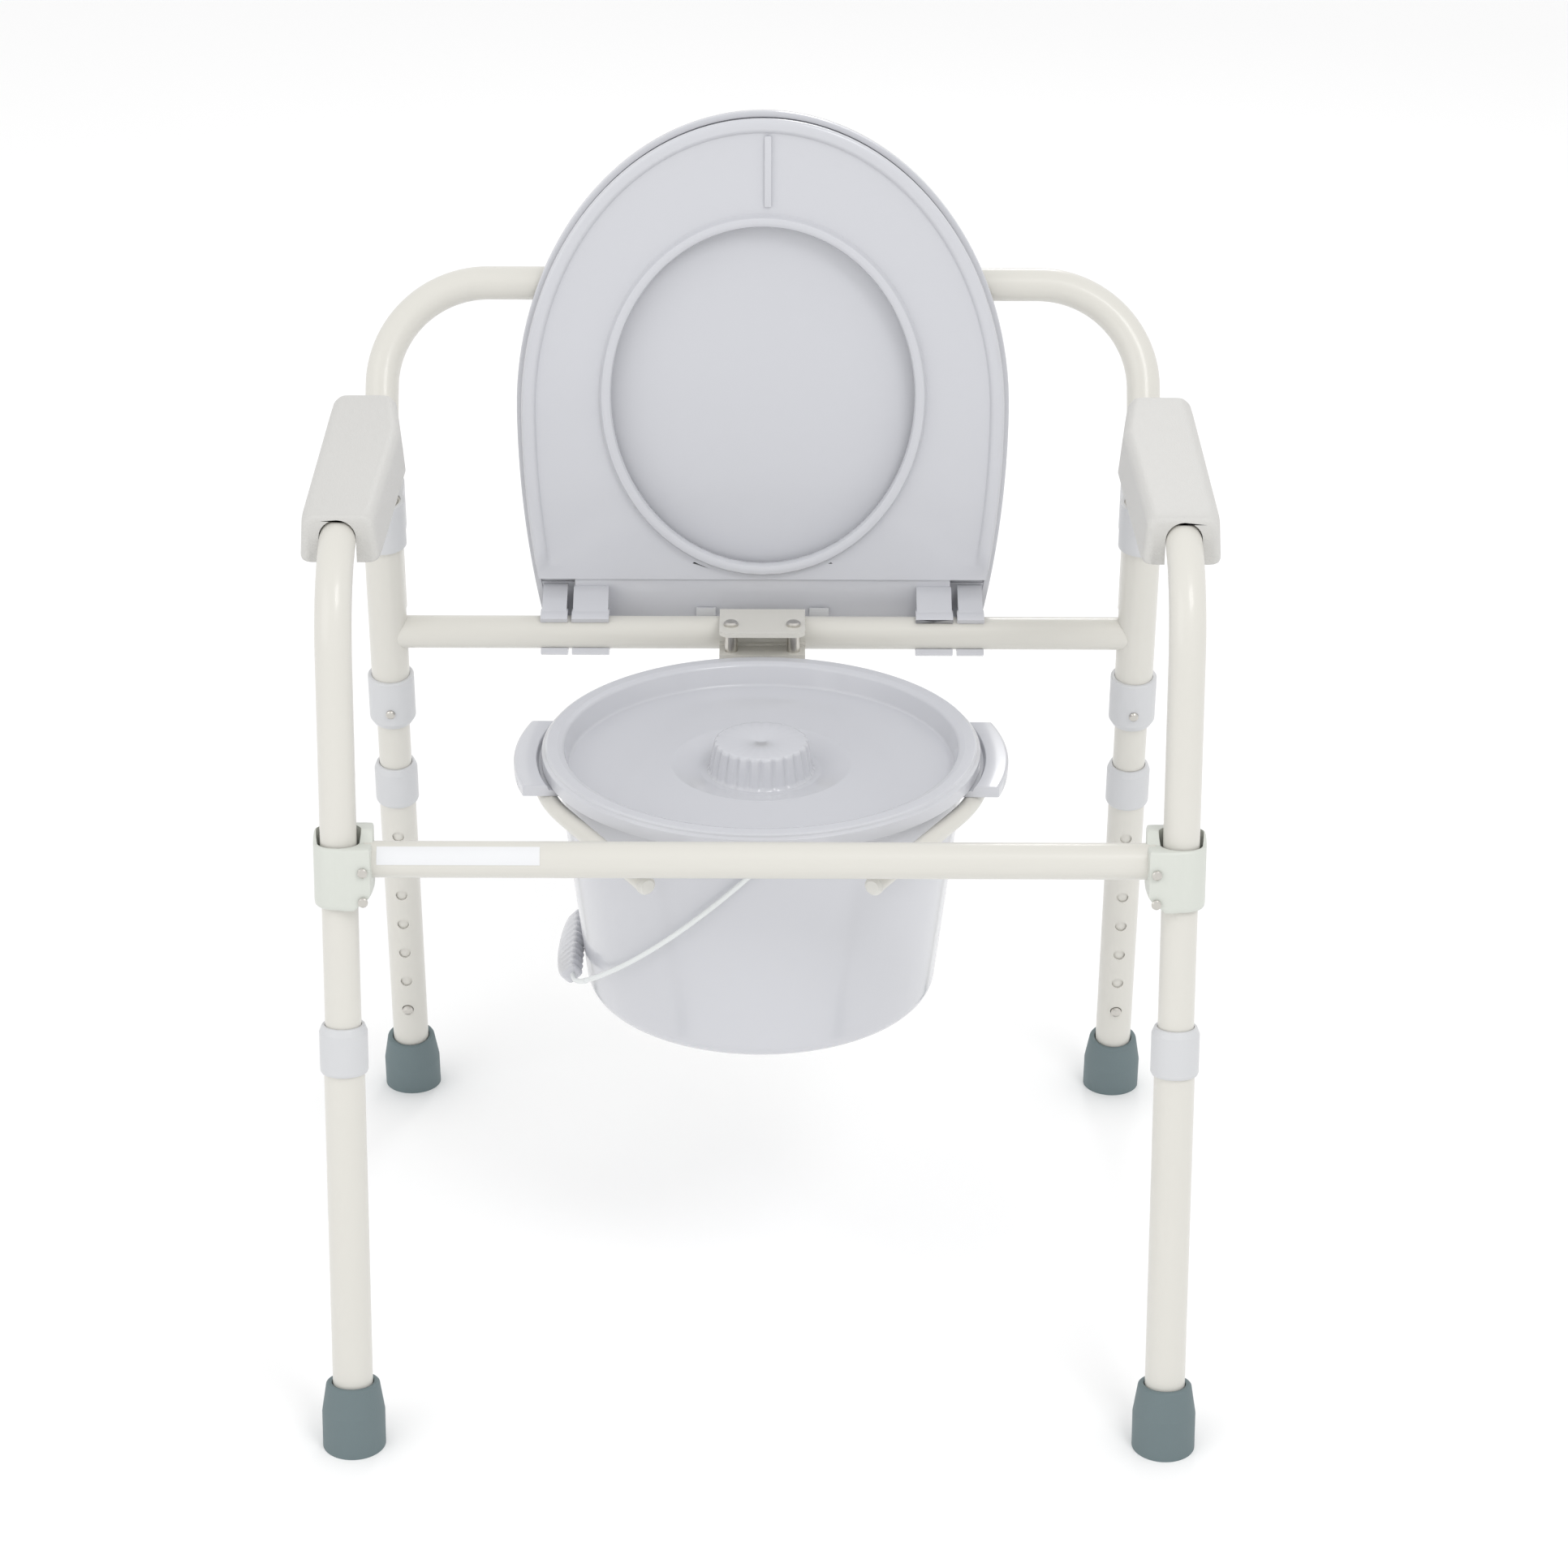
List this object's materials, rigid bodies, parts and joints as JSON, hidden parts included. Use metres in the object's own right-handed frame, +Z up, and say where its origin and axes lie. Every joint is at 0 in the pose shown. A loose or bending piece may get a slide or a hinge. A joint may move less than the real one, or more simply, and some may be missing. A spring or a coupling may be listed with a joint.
{
  "type": "commode chair",
  "caption": "Folding bedside commode chair with hinged seat and lid, bent-tube side frames with armrests, height-adjusting legs and a lidded bucket hung under the seat.",
  "frame": {"origin": "on the floor, under the centre of the whole chair", "axes": "+Z up, the front of the chair faces -Y, +X to the viewer's right when facing the front"},
  "size_m": [0.634, 0.582, 0.8316],
  "materials": {
    "cream_coated_steel": "satin",
    "foot_rubber": "matte",
    "bare_metal": "satin",
    "white_wire": "satin",
    "seat_plastic": "gloss",
    "armrest_plastic": "fine grain",
    "label": "matte",
    "grey_plug": "matte",
    "white_plastic": "satin"
  },
  "bodies": {
    "back_frame": {"rear_crossbar": "cream_coated_steel", "left_rear_sleeve": "cream_coated_steel", "right_rear_sleeve": "cream_coated_steel", "backrest_tube": "cream_coated_steel", "backrest_tube_plugs": "grey_plug", "left_backrest_clamp": "white_plastic", "right_backrest_clamp": "white_plastic", "backrest_clamp_screws": "bare_metal", "left_sleeve_collar": "white_plastic", "right_sleeve_collar": "white_plastic", "collar_screws": "bare_metal", "holder_top_plate": "cream_coated_steel", "holder_saddle": "cream_coated_steel", "holder_spacers": "bare_metal", "holder_screws": "bare_metal", "holder_nuts": "bare_metal", "bucket_holder_ring": "cream_coated_steel", "holder_ring_plugs": "grey_plug"},
    "lid": {"lid": "seat_plastic"},
    "seat": {"seat": "seat_plastic", "seat_bumpers": "white_plastic"},
    "left_side": {"left_side_tube": "cream_coated_steel", "left_armrest": "armrest_plastic", "left_armrest_screws": "bare_metal", "left_button_springs": "bare_metal"},
    "right_side": {"right_side_tube": "cream_coated_steel", "right_armrest": "armrest_plastic", "right_armrest_screws": "bare_metal", "right_button_springs": "bare_metal"},
    "crossbar": {"front_crossbar": "cream_coated_steel", "left_crossbar_bracket": "white_plastic", "right_crossbar_bracket": "white_plastic", "bracket_screws": "bare_metal", "blank_label": "label"},
    "bucket": {"bucket": "seat_plastic"},
    "bucket_lid": {"bucket_lid": "seat_plastic"},
    "bail": {"bail_wire": "white_wire", "bail_grip": "seat_plastic"},
    "front_left_lower_leg": {"front_left_lower_leg": "cream_coated_steel", "front_left_ferrule": "white_plastic", "front_left_foot": "foot_rubber"},
    "front_left_button": {"front_left_button": "bare_metal"},
    "front_right_lower_leg": {"front_right_lower_leg": "cream_coated_steel", "front_right_ferrule": "white_plastic", "front_right_foot": "foot_rubber"},
    "front_right_button": {"front_right_button": "bare_metal"},
    "rear_left_lower_leg": {"rear_left_lower_leg": "cream_coated_steel", "rear_left_ferrule": "white_plastic", "rear_left_foot": "foot_rubber"},
    "rear_left_button": {"rear_left_button": "bare_metal"},
    "rear_right_lower_leg": {"rear_right_lower_leg": "cream_coated_steel", "rear_right_ferrule": "white_plastic", "rear_right_foot": "foot_rubber"},
    "rear_right_button": {"rear_right_button": "bare_metal"}
  },
  "joints": [
    {"name": "left_side_fold", "type": "hinge", "parent": "back_frame", "child": "left_side", "pos_m": [-0.29, 0.202, 0.433], "axis": [0, -0.1513, 0.9885], "range_deg": [-14, 14]},
    {"name": "right_side_fold", "type": "hinge", "parent": "back_frame", "child": "right_side", "pos_m": [0.29, 0.202, 0.433], "axis": [0, -0.1513, 0.9885], "range_deg": [-14, 14]},
    {"name": "crossbar_swing", "type": "hinge", "parent": "left_side", "child": "crossbar", "pos_m": [-0.29, -0.20351, 0.42312], "axis": [0, -0.1513, 0.9885], "range_deg": [-14, 14]},
    {"name": "lid_hinge", "type": "hinge", "parent": "back_frame", "child": "lid", "pos_m": [0, 0.202, 0.433], "axis": [1, 0, 0], "range_deg": [0, 94.5]},
    {"name": "seat_hinge", "type": "hinge", "parent": "lid", "child": "seat", "pos_m": [0, 0.202, 0.433], "axis": [-1, 0, 0], "range_deg": [-94.5, 0]},
    {"name": "bucket_lift", "type": "slide", "parent": "back_frame", "child": "bucket", "axis": [0, 0, 1], "range_m": [0, 0.25]},
    {"name": "bucket_lid_lift", "type": "slide", "parent": "bucket", "child": "bucket_lid", "axis": [0, 0, 1], "range_m": [0, 0.1]},
    {"name": "bail_swing", "type": "hinge", "parent": "bucket", "child": "bail", "pos_m": [0, -0.003, 0.405], "axis": [0, 1, 0], "range_deg": [0, 25]},
    {"name": "front_left_leg_slide", "type": "slide", "parent": "left_side", "child": "front_left_lower_leg", "axis": [0, -0.1513, -0.9885], "range_m": [0, 0.171]},
    {"name": "front_left_button_press", "type": "slide", "parent": "front_left_lower_leg", "child": "front_left_button", "axis": [0, -0.9885, 0.1513], "range_m": [0, 0.004], "stiffness_N_per_m": 400, "springref_m": -0.002},
    {"name": "front_right_leg_slide", "type": "slide", "parent": "right_side", "child": "front_right_lower_leg", "axis": [0, -0.1513, -0.9885], "range_m": [0, 0.171]},
    {"name": "front_right_button_press", "type": "slide", "parent": "front_right_lower_leg", "child": "front_right_button", "axis": [0, -0.9885, 0.1513], "range_m": [0, 0.004], "stiffness_N_per_m": 400, "springref_m": -0.002},
    {"name": "rear_left_leg_slide", "type": "slide", "parent": "left_side", "child": "rear_left_lower_leg", "axis": [0, 0.1513, -0.9885], "range_m": [0, 0.171]},
    {"name": "rear_left_button_press", "type": "slide", "parent": "rear_left_lower_leg", "child": "rear_left_button", "axis": [0, 0.9885, 0.1513], "range_m": [0, 0.004], "stiffness_N_per_m": 400, "springref_m": -0.002},
    {"name": "rear_right_leg_slide", "type": "slide", "parent": "right_side", "child": "rear_right_lower_leg", "axis": [0, 0.1513, -0.9885], "range_m": [0, 0.171]},
    {"name": "rear_right_button_press", "type": "slide", "parent": "rear_right_lower_leg", "child": "rear_right_button", "axis": [0, 0.9885, 0.1513], "range_m": [0, 0.004], "stiffness_N_per_m": 400, "springref_m": -0.002}
  ],
  "couplings": [
    {"joint": "right_side_fold", "follows": "left_side_fold", "ratio": 1},
    {"joint": "crossbar_swing", "follows": "left_side_fold", "ratio": -1}
  ]
}
